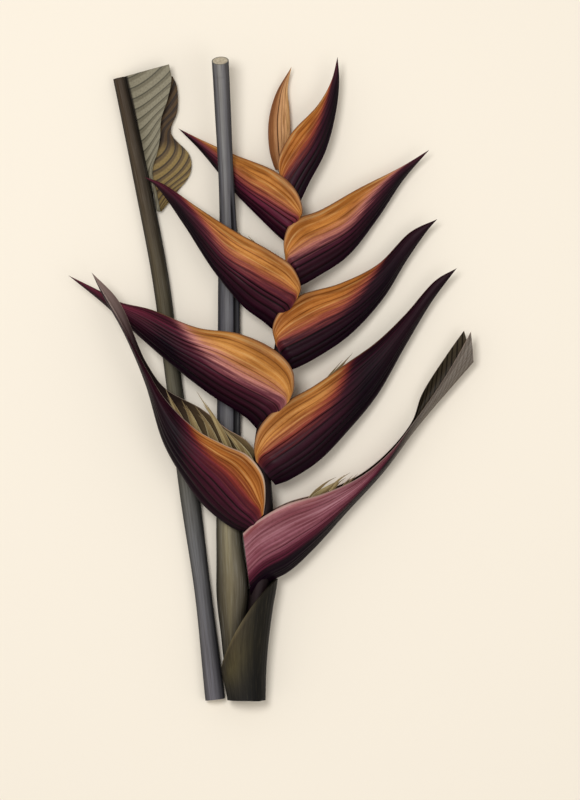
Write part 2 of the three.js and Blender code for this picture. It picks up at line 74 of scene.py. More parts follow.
# A keel and its margins run from foot to tip, seen from above. lifts are the heights of the mid plane,
# foot and belly half thicknesses. The middle rib lies at seam, 0 at the keel and 1 at the margin;
# orange_to, tip_from and pale_from are places along the bract where a colour ends or starts.
BRACTS = [
    dict(
        name="bract_1",
        keel=[(-13, -136), (-4, -127), (10, -119.5), (25, -106), (46, -83), (69, -58), (91, -29),
              (126, 11.5)],
        margin=[(-18, -96), (-10, -89), (8, -78.5), (32, -71.5), (55, -61), (73, -46), (88, -27),
                (98, -13), (108, 2), (116, 15.5), (124, 30.5)],
        far_margin=[(-18, -96), (-10, -89), (8, -78), (32, -70.5), (55, -59.5), (73, -44.5),
                    (87, -26.5), (93, -10), (108, 14), (120, 31)],
        lifts=(17, 14, 10.5, 9.8, 10.5, 11.5), foot=8.6, belly=11.5, blunt=True, fan=False,
        tip_from=0.62, seam=0.35, orange_to=0.62, ribs=18,
    ),
    dict(
        name="bract_2",
        keel=[(-16, -95.5), (-25, -92), (-42, -78.5), (-55, -61), (-67, -39.5), (-78.5, -2),
              (-91.5, 28), (-105, 52), (-111.5, 65.5)],
        margin=[(-5.5, -84), (-4.5, -74), (-6, -60), (-15, -48), (-29, -41.5), (-46.5, -32),
                (-66, -13), (-78, 6.5), (-96, 40), (-111.5, 65.5)],
        far_margin=[(-5.5, -84), (-4.5, -74), (-6, -57), (-15, -40), (-29, -31), (-44, -19),
                    (-66, -6.5), (-78, 10), (-95, 48), (-111.5, 65.5)],
        lifts=(19.5, 26, 26.5, 25, 26, 27), foot=7.8, belly=11.5, pale_from=0.74,
        seam=0.6, orange_to=0.44, ribs=13,
    ),
    dict(
        name="bract_3",
        keel=[(2, -66), (10.5, -62.5), (28.5, -51), (47, -32), (65, -10), (83, 21.5), (99.5, 48.5),
              (114.5, 68.5)],
        margin=[(-10, -51), (-11, -44), (-8, -31.5), (4, -18), (26, -5), (47, 9.5), (65, 22.5),
                (82.5, 39.5), (101.5, 61), (114.5, 68.5)],
        lifts=(20, 15, 10.4, 10.1, 10.6, 14), foot=7.4, belly=12.5, seam=0.47, orange_to=0.52, ribs=12,
    ),
    dict(
        name="bract_4",
        keel=[(-8, -33), (-15.5, -24.5), (-38.5, -9.5), (-63, 9.5), (-87, 30.5), (-103.5, 45.5),
              (-126.5, 64)],
        margin=[(10.5, -14), (13, -7), (12, 5), (2, 16.5), (-20, 27), (-46.5, 31), (-75.5, 42.5),
                (-95, 47.5), (-106.5, 54), (-126.5, 64)],
        lifts=(20, 24.5, 21.5, 19, 17, 15), foot=6.8, belly=11.5, seam=0.43, orange_to=0.59, ribs=11,
    ),
    dict(
        name="bract_5",
        keel=[(10, 4.5), (23.5, 11), (47, 26.5), (68, 49), (83, 73), (96, 91.5), (102.5, 99)],
        margin=[(2, 21.5), (0.5, 31), (4.5, 40.5), (17.5, 51), (42, 58.5), (65.5, 70.5), (86, 91),
                (102.5, 99)],
        lifts=(20, 14, 9.8, 9, 10, 13), foot=6.3, belly=11.5, seam=0.42, orange_to=0.7, ribs=11,
    ),
    dict(
        name="bract_6",
        keel=[(2.5, 28.5), (-5.5, 35.5), (-17, 44), (-35.5, 66), (-54, 94.5), (-71, 118), (-79.5, 125)],
        margin=[(16, 50.5), (17.5, 56), (12, 68.5), (-1, 78), (-25, 91.5), (-47.5, 106.5),
                (-67.5, 120.5), (-79.5, 125)],
        lifts=(20, 24, 22, 19, 17, 16), foot=5.9, belly=10.5, seam=0.4, orange_to=0.82, ribs=11,
    ),
    dict(
        name="bract_7",
        keel=[(15, 56), (26.5, 62.5), (46.5, 76), (64.5, 98.5), (81, 123), (97.5, 142)],
        margin=[(8.2, 73), (7.5, 85), (12.5, 96.5), (30, 104), (54.5, 118), (79.5, 131), (97.5, 142)],
        lifts=(19.5, 13.5, 9, 8.5, 9, 12), foot=5.4, belly=10.5, seam=0.38, orange_to=0.88, ribs=10,
    ),
    dict(
        name="bract_8",
        keel=[(8, 84.5), (0, 92), (-10.5, 102.5), (-23, 115.5), (-44.5, 141.5), (-58.5, 155.5)],
        margin=[(17, 99), (18.5, 103), (14.5, 115.5), (2, 127.5), (-24, 139), (-44.5, 148.5),
                (-58.5, 155.5)],
        lifts=(18, 14, 9, 6.4, 5.8, 8), foot=5, belly=8.6, open_to=0.3, seam=0.32, orange_to=1, ribs=9,
    ),
    dict(
        name="bract_9",
        keel=[(16, 107), (22.5, 121), (33, 141.5), (39.5, 166.5), (41.5, 185), (40.5, 199.5)],
        margin=[(5.5, 122), (4, 134), (11, 150), (28.5, 169.5), (36.5, 184), (40.5, 199.5)],
        lifts=(16.5, 16, 14.5, 14, 15), foot=4, belly=6.5, flare=1, seam=0.46, orange_to=0.86, ribs=8,
    ),
    dict(
        name="bract_10",
        keel=[(2, 129.5), (-1.5, 142), (-2, 160), (2.5, 177.5), (12, 194)],
        margin=[(6, 131), (10.5, 150), (10.5, 166.5), (9.5, 180), (12, 194)],
        lifts=(5.4, 4.6, 4.6, 5, 7), foot=2.6, belly=4, flare=0, seam=0.5, orange_to=1.6, ribs=5,
    ),
]

RACHIS_PATH = [(-13, -199.5, 11), (-9, -140, 14), (-5, -90, 18), (-6, -40, 20), (4, 10, 20.5),
               (11, 64, 20), (15, 98, 18), (13, 118, 17)]
RACHIS_RADII = (6.3, 6.2, 5.8, 5, 4.2, 3.4, 2.4)

CUT_STALK_PATH = [(-22.6, -199, 10.6), (-24.8, -177, 12), (-24.8, -150, 11.5), (-25, -125, 10.5),
                  (-27, -96, 7), (-27.2, -60, 5.6), (-27, 0, 5.8), (-27, 66, 6.2), (-27.4, 95, 9.4),
                  (-28.4, 122, 18.5), (-29, 135, 20.5), (-32, 198, 30)]
CUT_STALK_WIDTHS = (3, 6.2, 9.9, 8, 7.3, 7.3, 7.2, 6.9, 6.6, 5.2, 4.7, 5, 5.2)
CUT_STALK_HEIGHTS = (5, 7, 8.5, 6, 5, 5, 5.2, 5.2, 5.1, 4.9, 4.8, 4.9, 5)
CUT_STALK_LEANS = (0, 0.1, 0.35, 0.2, 0, 0, 0, 0, 0, 0, 0, 0, 0)
CUT_SLOPE = 0.43  # how far its upper end's cut leans back, per height

LEAF_STALK_PATH = [(-35.5, -199.5, 5.2), (-43, -134, 5.2), (-52, -68, 5.2), (-61.5, 0, 5.2),
                   (-69.5, 62, 5), (-81, 122, 4.8), (-95, 187, 4.6)]
LEAF_STALK_WIDTHS = (6.2, 5.2, 6.1, 5, 5.2, 5, 4.1)
LEAF_STALK_HEIGHTS = (5.1, 5.1, 5.1, 5, 4.9, 4.7, 4.5)

SHEATH_LENGTH = (-199.5, -124)
SHEATH_LEFT = (-28, -31.5, -33, -33, -33)
SHEATH_RIGHT = (-4, -3.5, -2, 0.5, 3.5)
SHEATH_TOPS = (22, 25, 27, 28, 29)
SHEATH_MARGIN_LOW = -179
SHEATH_WALL = 1.6

BLADE_FOLD = [(-71.8, 104, 5), (-73.7, 114, 5), (-77.2, 127, 5), (-85.2, 163, 5), (-91.4, 188, 5)]
BLADE_NEAR = [(-69.5, 104, 6.5), (-71.5, 114, 6.5), (-74.5, 129, 7), (-71.3, 141, 8.5), (-69.7, 150, 9.5),
              (-69, 161, 10.5), (-64.8, 174, 11.5), (-62.6, 186, 12), (-64, 195, 12)]
BLADE_FAR = [(-69, 104, 4), (-60, 115.5, 2.5), (-51, 128, 2.5), (-51.5, 139, 3), (-63, 153, 4),
             (-59, 167, 4), (-59.5, 182.5, 4), (-62, 188, 4)]
BLADE_WALL = 0.9
VEINS = 13  # side veins along the piece of blade

FLOWERS = [
    ("flower_1a", [(16, -88, 15), (26, -74, 14), (36, -65.5, 14), (44, -60.5, 14)], 1.9),
    ("flower_1b", [(22, -92, 15), (33, -75, 14), (41, -64.5, 14), (48.5, -58, 14)], 1.6),
    ("flower_1c", [(30, -88, 13), (40, -73, 13), (47, -64, 13), (53.5, -58.5, 13)], 1.3),
    ("flower_2a", [(-46, -50, 25), (-53, -32, 25), (-60, -18, 25), (-66.5, -6, 25.5)], 2),
    ("flower_2b", [(-39, -56, 25), (-45, -36, 25), (-51, -22, 25), (-56.5, -12.5, 25.5)], 2.2),
    ("flower_2c", [(-30, -62, 25), (-35, -42, 25), (-41, -28, 25), (-48.5, -16.5, 25.5)], 2.4),
    ("flower_2d", [(-20, -64, 24), (-26, -44, 26), (-35, -26, 28), (-47, -7, 30)], 1.5),
    ("flower_2e", [(-12, -66, 22), (-15, -52, 23), (-22, -40, 24), (-33, -28, 25)], 2.2),
    ("flower_3a", [(19, -28, 15), (27, -14, 13.5), (37, 1.5, 12), (50, 16.5, 11.5)], 1.8),
    ("flower_3b", [(25, -32, 14), (32, -16, 12.5), (40, -1, 11.5), (48.5, 11.5, 11)], 1.4),
    ("flower_6a", [(-12, 62, 22.5), (-13, 76, 22.5), (-17, 85, 22), (-22.5, 92.5, 22)], 1.7),
    ("flower_6b", [(-4, 60, 22.5), (-5, 72, 23), (-9, 81, 23), (-15, 88.5, 23)], 1.7),
]


# ---- curves ----

def route(points):
    """A function that gives points on a smooth curve through these, 0 at its start and 1 at its end."""
    knots = np.array([(*p, 0.0)[:3] for p in points], float)
    knots = np.vstack([2 * knots[0] - knots[1], knots, 2 * knots[-1] - knots[-2]])
    steps = np.linspace(0, 1, 48, endpoint=False)[:, None]
    pieces = []
    for p0, p1, p2, p3 in zip(knots, knots[1:], knots[2:], knots[3:]):
        d0, d1, d2 = (math.sqrt(np.linalg.norm(b - a)) for a, b in ((p0, p1), (p1, p2), (p2, p3)))
        out = ((p1 - p0) / d0 - (p2 - p0) / (d0 + d1) + (p2 - p1) / d1) * d1
        into = ((p2 - p1) / d1 - (p3 - p1) / (d1 + d2) + (p3 - p2) / d2) * d1
        bend = -3 * p1 + 3 * p2 - 2 * out - into
        twist = 2 * p1 - 2 * p2 + out + into
        pieces.append(p1 + out * steps + bend * steps ** 2 + twist * steps ** 3)
    line = np.vstack([*pieces, knots[-2][None]])
    length = np.r_[0, np.cumsum(np.linalg.norm(np.diff(line, axis=0), axis=1))]
    return lambda t: np.stack([np.interp(t, length / length[-1], line[:, k]) for k in range(3)], -1)


def along(values, t):
    """A value that runs smoothly through numbers spaced evenly from t = 0 to t = 1."""
    values = np.asarray(values, float)
    last = len(values) - 1
    place = np.clip(np.asarray(t, float), 0, 1) * last
    i = np.minimum(place.astype(int), last - 1)
    f = place - i
    p0, p1, p2, p3 = (values[np.clip(i + k, 0, last)] for k in (-1, 0, 1, 2))
    out, into = (p2 - p0) / 2, (p3 - p1) / 2
    bend, twist = -3 * p1 + 3 * p2 - 2 * out - into, 2 * p1 - 2 * p2 + out + into
    return p1 + out * f + bend * f ** 2 + twist * f ** 3


def ease(t):
    t = np.clip(t, 0, 1)
    return t * t * (3 - 2 * t)


def unit(v):
    return v / np.maximum(np.linalg.norm(v, axis=-1, keepdims=True), 1e-9)


# ---- meshes ----

def piece_from_rings(name, rings, marks, tip=None, loop=False, split=None):
    """A closed mesh from rings of points, an array of the shape (rows, n, 3).

    marks holds named values of the shape (rows, n) or (rows, n, 3). The end caps join the first
    split points of a ring to the rest of it. A tip closes the last ring in a point instead; with
    loop the last ring joins the first.
    """
    rows, n = rings.shape[:2]
    grid = np.arange(rows * n).reshape(rows, n)
    if loop:
        grid = np.vstack([grid, grid[:1]])
    a, b = grid[:-1], grid[1:]
    faces = np.stack([a, b, np.roll(b, -1, 1), np.roll(a, -1, 1)], -1).reshape(-1, 4).tolist()
    points = rings.reshape(-1, 3)
    if not loop:
        cap = end_cap(split or n // 2, n)
        faces += cap
        if tip is None:
            faces += [[(rows - 1) * n + k for k in face[::-1]] for face in cap]
        else:
            faces += [[int(e), rows * n, int(f)] for e, f in zip(grid[-1], np.roll(grid[-1], -1))]
            points = np.vstack([points, tip])
    points[:, 2] = np.maximum(points[:, 2], TABLE)
    mesh = bpy.data.meshes.new(name)
    mesh.from_pydata((points * MM).tolist(), [], faces)
    for key, values in marks.items():
        flat = values.reshape(rows * n, -1)
        if tip is not None:
            flat = np.vstack([flat, flat[-n:].mean(0, keepdims=True)])
        kind, field = ("FLOAT_VECTOR", "vector") if flat.shape[1] == 3 else ("FLOAT", "value")
        layer = mesh.attributes.new(key, kind, "POINT")
        layer.data.foreach_set(field, flat.astype(np.float32).ravel())
    face_outwards(mesh)
    mesh.polygons.foreach_set("use_smooth", [True] * len(mesh.polygons))
    mesh.set_sharp_from_angle(angle=math.radians(52))
    piece = bpy.data.objects.new(name, mesh)
    bpy.context.scene.collection.objects.link(piece)
    return piece


def end_cap(split, n):
    """Triangles between points 0 to split - 1 of a ring and the points from n - 1 back to split."""
    here, there = list(range(split)), list(range(n - 1, split - 1, -1))
    i = j = 0
    faces = []
    while i < len(here) - 1 or j < len(there) - 1:
        if (i + 1) * (len(there) - 1) <= (j + 1) * (len(here) - 1):
            faces.append([here[i], here[i + 1], there[j]])
            i += 1
        else:
            faces.append([here[i], there[j + 1], there[j]])
            j += 1
    return faces


def face_outwards(mesh):
    """Turns the faces of a closed mesh out, if its volume comes out negative."""
    mesh.calc_loop_triangles()
    corners = np.zeros(len(mesh.loop_triangles) * 3, np.int32)
    mesh.loop_triangles.foreach_get("vertices", corners)
    points = np.zeros(len(mesh.vertices) * 3, np.float32)
    mesh.vertices.foreach_get("co", points)
    a, b, c = points.reshape(-1, 3)[corners.reshape(-1, 3)].astype(float).transpose(1, 0, 2)
    if np.einsum("ij,ij->i", a, np.cross(b, c)).sum() < 0:
        mesh.flip_normals()


def outward(rings):
    """Unit normals of a grid of points, to the left of its rows seen along its columns."""
    return unit(np.cross(np.gradient(rings, axis=0), np.gradient(rings, axis=1)))


# ---- bracts ----

def half_depth(bract, t):
    flare_by = bract.get("flare", FLARE)
    flare = flare_by * ease(t / FLARE_AT)
    fattening = ease((t - FLARE_AT / 2) / (BELLY_AT - FLARE_AT / 2))
    swell = (bract["belly"] - bract["foot"] - flare_by) * fattening
    past = np.maximum(0, (t - BELLY_AT) / (1 - BELLY_AT))
    taper = BLUNT_TAPER if bract.get("blunt") else 1
    return (bract["foot"] + flare + swell) * (1 - taper * past ** 1.5)


def cheek(s, mouth):
    """How far a cheek stands from the mid plane, as a share of the half depth."""
    rising = np.sin(math.pi / 2 * (np.clip(s, 0, FOLD_AT) / FOLD_AT) ** 0.8)
    falling = 1 - (1 - mouth) * ((s - FOLD_AT) / (1 - FOLD_AT)) ** 2
    return np.where(s < FOLD_AT, rising, falling)


def rib_marks(ribs, s, rng):
    """For each s: the ribs' height, how deep in a groove, how near a crest, and a number for its rib."""
    seams = (np.arange(1, ribs) + rng.uniform(-0.25, 0.25, ribs - 1)) / ribs
    depth = rng.uniform(0.25, 1.0, ribs - 1)
    fine = np.sort(rng.uniform(0.02, 0.98, ribs))
    off = np.abs(s[:, None] - seams[None]) * ribs
    fine_off = np.abs(s[:, None] - fine[None]).min(1) * ribs
    groove = (depth * np.exp(-(off / GROOVE_WIDTH) ** 2)).max(1)
    groove = np.maximum(groove, 0.3 * np.exp(-(fine_off / (0.6 * GROOVE_WIDTH)) ** 2))
    crown = (1 - np.exp(-(off / 0.34) ** 2)).min(1)
    shade = rng.uniform(0, 1, ribs)[np.searchsorted(seams, s)]
    return RIB_HEIGHT * crown - GROOVE_DEPTH * groove, np.stack([groove, crown, shade], -1)


def middle_rib(keel, margin, seam, t):
    """Where the middle rib lies from keel to margin: straight from the margin's foot, then at the seam."""
    end = keel(np.array([FAN_TO])) * (1 - seam) + margin(np.array([FAN_TO])) * seam
    start = margin(np.array([0.0]))
    way = end - start
    lead, width = start - keel(t), margin(t) - keel(t)
    spread = width[:, 0] * way[:, 1] - width[:, 1] * way[:, 0]
    crossing = (lead[:, 0] * way[:, 1] - lead[:, 1] * way[:, 0]) / spread
    middle = np.where(t < FAN_TO, np.clip(crossing, seam, FAN_START), seam)
    padded = np.r_[np.full(6, middle[0]), middle, np.full(6, middle[-1])]
    return np.convolve(padded, np.ones(13) / 13, "valid")[:, None]


def bract_piece(bract, seed):
    rng = np.random.default_rng(seed)
    rows = 120 if bract["ribs"] > 6 else 80
    t = (np.arange(rows) / rows)[:, None]
    keel = route(bract["keel"])
    sides = (route(bract["margin"]), route(bract.get("far_margin", bract["margin"])))
    middles = [middle_rib(keel, margin, bract["seam"], t[:, 0]) for margin in sides]
    if not bract.get("fan", True):
        middles = [np.full_like(t, bract["seam"])] * 2
    depth = half_depth(bract, t)
    mouth = FOOT_MOUTH + (TIP_MOUTH - FOOT_MOUTH) * ease((t - bract.get("open_to", OPEN_TO)) / CLOSING)
    wall = np.minimum(WALL, 0.5 * depth * mouth)
    lift = along(bract["lifts"], t ** LIFT_POWER)
    ripple = 0.35 * np.sin(9 * t + rng.uniform(0, 6)) + 0.2 * np.sin(23 * t + rng.uniform(0, 6))

    def cheek_points(side, place, inset):
        spots = keel(t[:, 0])[:, None] * (1 - place[..., None])
        spots = spots + sides[side](t[:, 0])[:, None] * place[..., None]
        rise = np.maximum(0, depth * cheek(place, mouth) - inset * (1 - MARGIN_THIN * place))
        sway = ripple * ease((t - 0.2) / 0.3) * place ** 3 * depth / 12
        spots[..., 2] = lift + (rise if side == 0 else -rise) + sway
        return spots

    columns = bract["ribs"] * 8
    s = np.linspace(0, 1, columns + 1)
    height, rib = rib_marks(bract["ribs"], s, rng)
    outer = []
    for side, middle in enumerate(middles):
        place = np.where(s < 0.5, 2 * s * middle, middle + (2 * s - 1) * (1 - middle))
        skin = cheek_points(side, place, 0)
        spacing = np.linalg.norm(np.gradient(skin, axis=1), axis=-1) * 8
        normal = outward(skin)
        facing = np.sign(normal[..., 2:].sum(1, keepdims=True)) * (1 if side == 0 else -1)
        size = np.clip(spacing / FULL_RIB, 0, 1.2) ** 1.2
        size *= ease(t / 0.05) * (1 - 0.6 * ease((t - 0.7) / 0.3))
        outer.append(skin + normal * facing * (height * size)[..., None])
    in_keel = FOLD_AT * (2 / math.pi * np.arcsin(np.clip(wall / depth, 0, 1))) ** 1.25
    lining_s = np.linspace(0, 1, 25)
    inner = [cheek_points(side, in_keel + (1 - in_keel) * lining_s, wall) for side in (0, 1)]
    rims = [rim_points(outer[side], inner[side]) for side in (0, 1)]
    rings = around(outer, inner, rims)

    narrowing = np.clip((t - ORANGE_FROM) / (bract["orange_to"] - ORANGE_FROM), 0, 1.2) ** NARROWING
    skin_s, lining, rim_s = (np.ones((rows, 1)) * part for part in (s, lining_s, np.ones(3)))
    grains = [np.stack([part, t * np.ones_like(part), np.full_like(part, inside)], -1)
              for part, inside in ((skin_s, 0), (lining, 1), (rim_s, 0.5))]
    ribs = [np.ones((rows, 1, 1)) * part for part in (rib, np.zeros((25, 3)), np.zeros((3, 3)))]
    tones = [part - 0.56 * narrowing for part in (skin_s, lining, rim_s)]
    marks = {key: around(*[(part, part) for part in parts])
             for key, parts in (("grain", grains), ("rib", ribs), ("tone", tones))}
    tip = None
    if not bract.get("blunt"):
        tip = keel(np.array([1.0]))
        tip[0, 2] = bract["lifts"][-1]
    return piece_from_rings(bract["name"] + "_skin", rings, marks, tip=tip, split=2 * columns + 1)


def around(outer, inner, rims):
    """Rings round a bract's wall: the near cheek to the keel, the far cheek, its rim, and back inside."""
    parts = [outer[0][:, ::-1], outer[1][:, 1:], rims[1],
             inner[1][:, ::-1], inner[0][:, 1:], rims[0][:, ::-1]]
    return np.concatenate(parts, axis=1)


def rim_points(outer, inner):
    """Three points round the margin's edge, from the outer skin to the lining."""
    a, b = outer[:, -1], inner[:, -1]
    middle, reach = (a + b) / 2, (a - b) / 2
    out = unit(outer[:, -1] - outer[:, -3]) * np.linalg.norm(reach, axis=-1, keepdims=True)
    turns = np.radians([45, 90, 135])
    return np.stack([middle + reach * math.cos(w) + 0.8 * out * math.sin(w) for w in turns], axis=1)


# ---- stalks ----

SLOPED = 12  # rings over which the slant of a cut end grows


def stem_rings(path, widths, heights, leans, rows, sides, relief):
    """Rings of a stem of oval section; relief gives how far the skin stands out at (t, angle)."""
    t = (np.arange(rows + 1) / rows)[:, None]
    line = route(path)
    centre = line(t[:, 0])
    ahead = unit(line(np.minimum(t[:, 0] + 1e-3, 1)) - line(np.maximum(t[:, 0] - 1e-3, 0)))
    side = unit(np.stack([ahead[:, 1], -ahead[:, 0], 0 * ahead[:, 0]], -1))
    up = unit(np.cross(side, ahead))
    angle = (2 * math.pi * (np.arange(sides) + 0.5) / sides)[None]
    out = relief(t, angle)
    across = (along(widths, t) + out) * np.cos(angle)
    rise = (along(heights, t) + out) * np.sin(angle) + across * along(leans, t)
    rings = centre[:, None] + side[:, None] * across[..., None] + up[:, None] * rise[..., None]
    return rings, t * np.ones_like(angle), angle * np.ones_like(t)


def cut_ends(piece, sides):
    """Gives the flat ends of a stalk the look of a cut, as its second material."""
    piece.data.materials.append(cut_face())
    faces = piece.data.polygons
    for face in list(faces)[-2 * (sides - 2):]:
        face.material_index = 1
        face.use_smooth = False


def stalk_piece(name, path, widths, heights, leans, rows, sides, relief, end_slope=0):
    rings, t, angle = stem_rings(path, widths, heights, leans, rows, sides, relief)
    if end_slope:
        low = rings[-1, :, 2].min()
        near_end = ease((t - 1 + SLOPED / len(rings)) * len(rings) / SLOPED)
        back = end_slope * (rings[:, :, 2] - low) * near_end
        rings[..., 1] -= back * (rings[..., 1] > rings[-1, :, 1].min() - 12)
    marks = {
        "grain": np.stack([np.cos(angle) / 2 + 0.5, t, np.sin(angle) / 2 + 0.5], -1),
        "rib": np.stack([np.clip(-relief(t[:, :1], angle[:1]) / 1.5, 0, 1), t * 0 + 1, t * 0], -1),
    }
    return piece_from_rings(name, rings, marks)


def ridged(count, height, rng):
    """Fine ridges along a stalk, uneven in height and spacing."""
    turns = rng.uniform(0, 2 * math.pi, 3)
    return lambda t, angle: height * (
        0.5 * np.sin(count * angle + turns[0])
        + 0.3 * np.sin((count * 2 - 3) * angle + turns[1] + 2 * t)
        + 0.2 * np.sin((count // 2 + 1) * angle + turns[2])
    )


# ---- materials ----

def srgb(code):
    """An sRGB hex value as linear RGBA."""
    parts = [int(code[i:i + 2], 16) / 255 for i in (1, 3, 5)]
    return [c / 12.92 if c <= 0.04045 else ((c + 0.055) / 1.055) ** 2.4 for c in parts] + [1.0]


def add(tree, kind, values=None, **settings):
    """Adds a node with its settings; a value is a number or another node's output socket."""
    node = tree.nodes.new(kind)
    for key, value in settings.items():
        setattr(node, key, value)
    for key, value in (values or {}).items():
        if isinstance(value, bpy.types.NodeSocket):
            tree.links.new(value, node.inputs[key])
        else:
            node.inputs[key].default_value = value
    return node


def ramp(tree, value, stops, gain=1.0):
    """A colour ramp through (place, hex) stops, made lighter by the gain."""
    node = add(tree, "ShaderNodeValToRGB", {0: value})
    points = node.color_ramp.elements
    while len(points) < len(stops):
        points.new(0.5)
    for point, (place, code) in zip(points, stops):
        point.position = place
        point.color = [gain * part for part in srgb(code)[:3]] + [1.0]
    return node.outputs[0]


def level(tree, value, low, high, to_low=0.0, to_high=1.0):
    """Maps low..high to to_low..to_high, held at both ends."""
    values = {0: value, 1: low, 2: high, 3: to_low, 4: to_high}
    return add(tree, "ShaderNodeMapRange", values, interpolation_type="SMOOTHSTEP").outputs[0]


def mix(tree, factor, a, b, blend_type="MIX"):
    node = add(tree, "ShaderNodeMix", data_type="RGBA", blend_type=blend_type)
    for key, value in ((0, factor), (6, a), (7, b)):
        if isinstance(value, bpy.types.NodeSocket):
            tree.links.new(value, node.inputs[key])
        else:
            node.inputs[key].default_value = value
    return node.outputs[2]


def plant_skin(name, roughness, shine=0.3):
    """A plant-tissue material: its tree, shader, grain vector, and the split grain and rib marks."""
    material = bpy.data.materials.new(name)
    material.use_nodes = True
    tree = material.node_tree
    shader = tree.nodes["Principled BSDF"]
    shader.inputs["Roughness"].default_value = roughness
    shader.inputs["Specular IOR Level"].default_value = shine
    grain = add(tree, "ShaderNodeAttribute", attribute_name="grain").outputs["Vector"]
    rib = add(tree, "ShaderNodeAttribute", attribute_name="rib").outputs["Vector"]
    grain_parts = add(tree, "ShaderNodeSeparateXYZ", {0: grain}).outputs
    rib_parts = add(tree, "ShaderNodeSeparateXYZ", {0: rib}).outputs
    return material, tree, shader, grain, grain_parts, rib_parts


def shade(tree, factor, colour, by):
    """Multiplies a colour by another, by the factor."""
    return mix(tree, factor, colour, srgb(by), "MULTIPLY")


def fibres(tree, grain, across_mm, along_mm, spacing_mm, length_mm, detail=3.0):
    """Noise drawn out along the grain of a surface that measures across_mm by along_mm."""
    scale = (across_mm / spacing_mm, along_mm / length_mm, 3.0)
    stretched = add(tree, "ShaderNodeMapping", {"Vector": grain, "Scale": scale}).outputs[0]
    values = {"Vector": stretched, "Scale": 1.0, "Detail": detail, "Roughness": 0.6}
    return add(tree, "ShaderNodeTexNoise", values).outputs["Fac"]


def finish_surface(tree, shader, colour, relief, strength, distance_mm):
    """Links the colour, and a fine bump, to the shader."""
    values = {"Height": relief, "Strength": strength, "Distance": distance_mm * MM}
    bump = add(tree, "ShaderNodeBump", values)
    tree.links.new(bump.outputs[0], shader.inputs["Normal"])
    tree.links.new(colour, shader.inputs["Base Color"])


